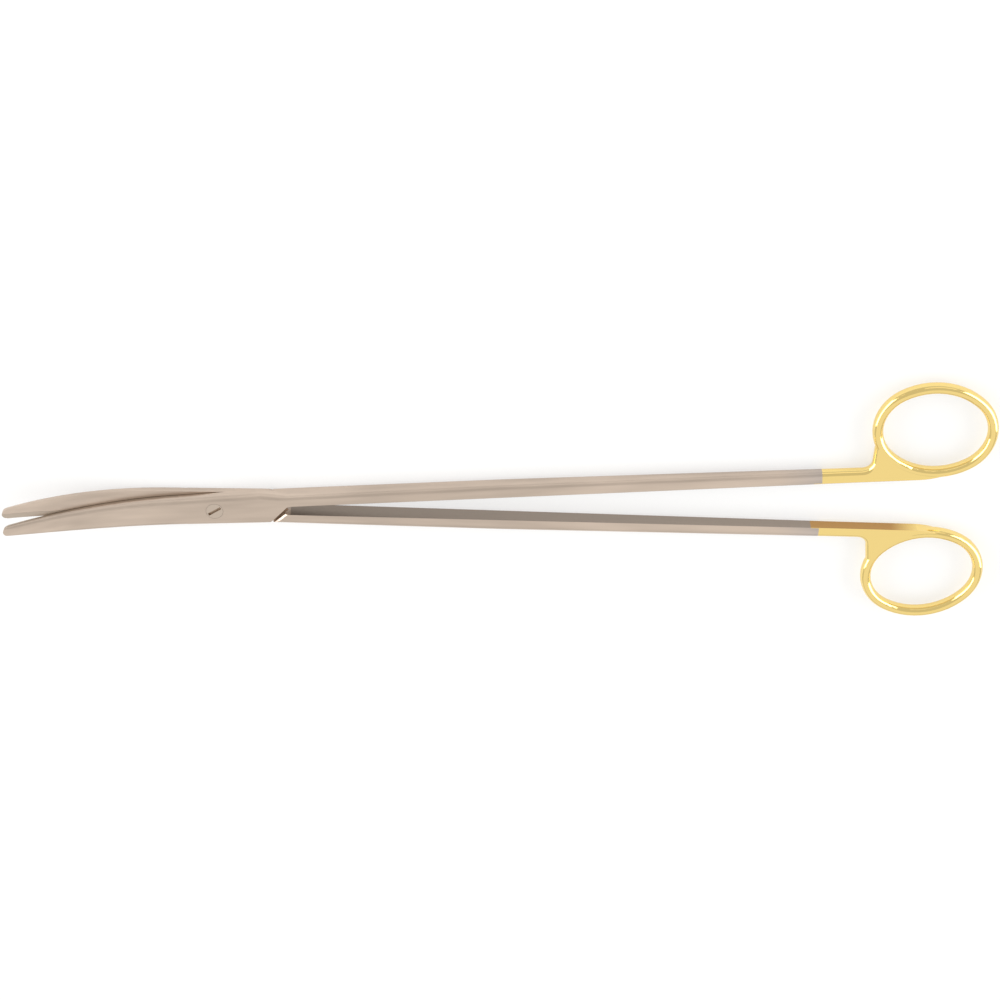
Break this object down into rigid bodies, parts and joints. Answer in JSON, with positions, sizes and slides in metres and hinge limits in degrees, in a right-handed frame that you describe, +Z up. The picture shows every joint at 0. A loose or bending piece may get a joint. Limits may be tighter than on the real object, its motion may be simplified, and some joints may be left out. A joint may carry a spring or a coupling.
{
  "type": "dissecting scissors",
  "caption": "Long, slender dissecting scissors with curved blunt blades, a slotted pivot screw, straight shanks and plated finger rings.",
  "frame": {"origin": "where the screw's axis meets the surface the scissors lie on, which is the back of the rear joint plate", "axes": "+X from the screw towards the finger rings, along the bisector of the two halves; +Z up, along the screw's axis, towards its slotted head; +Y towards the front half's finger ring"},
  "size_m": [0.2768, 0.0776, 0.0122],
  "materials": {
    "satin_steel": "fine satin steel, with gold plating over the rings and the last part of the shanks",
    "hard_strip": "matt ground carbide",
    "screw_steel": "satin steel, turned"
  },
  "bodies": {
    "rear": {"rear_half": "satin_steel", "rear_carbide_edge": "hard_strip", "pivot_screw": "screw_steel"},
    "front": {"front_half": "satin_steel", "front_carbide_edge": "hard_strip"}
  },
  "joints": [
    {"name": "pivot", "type": "hinge", "parent": "rear", "child": "front", "pos_m": [0, 0, 0.0029], "axis": [0, 0, 1], "range_deg": [-4.6, 60]}
  ]
}
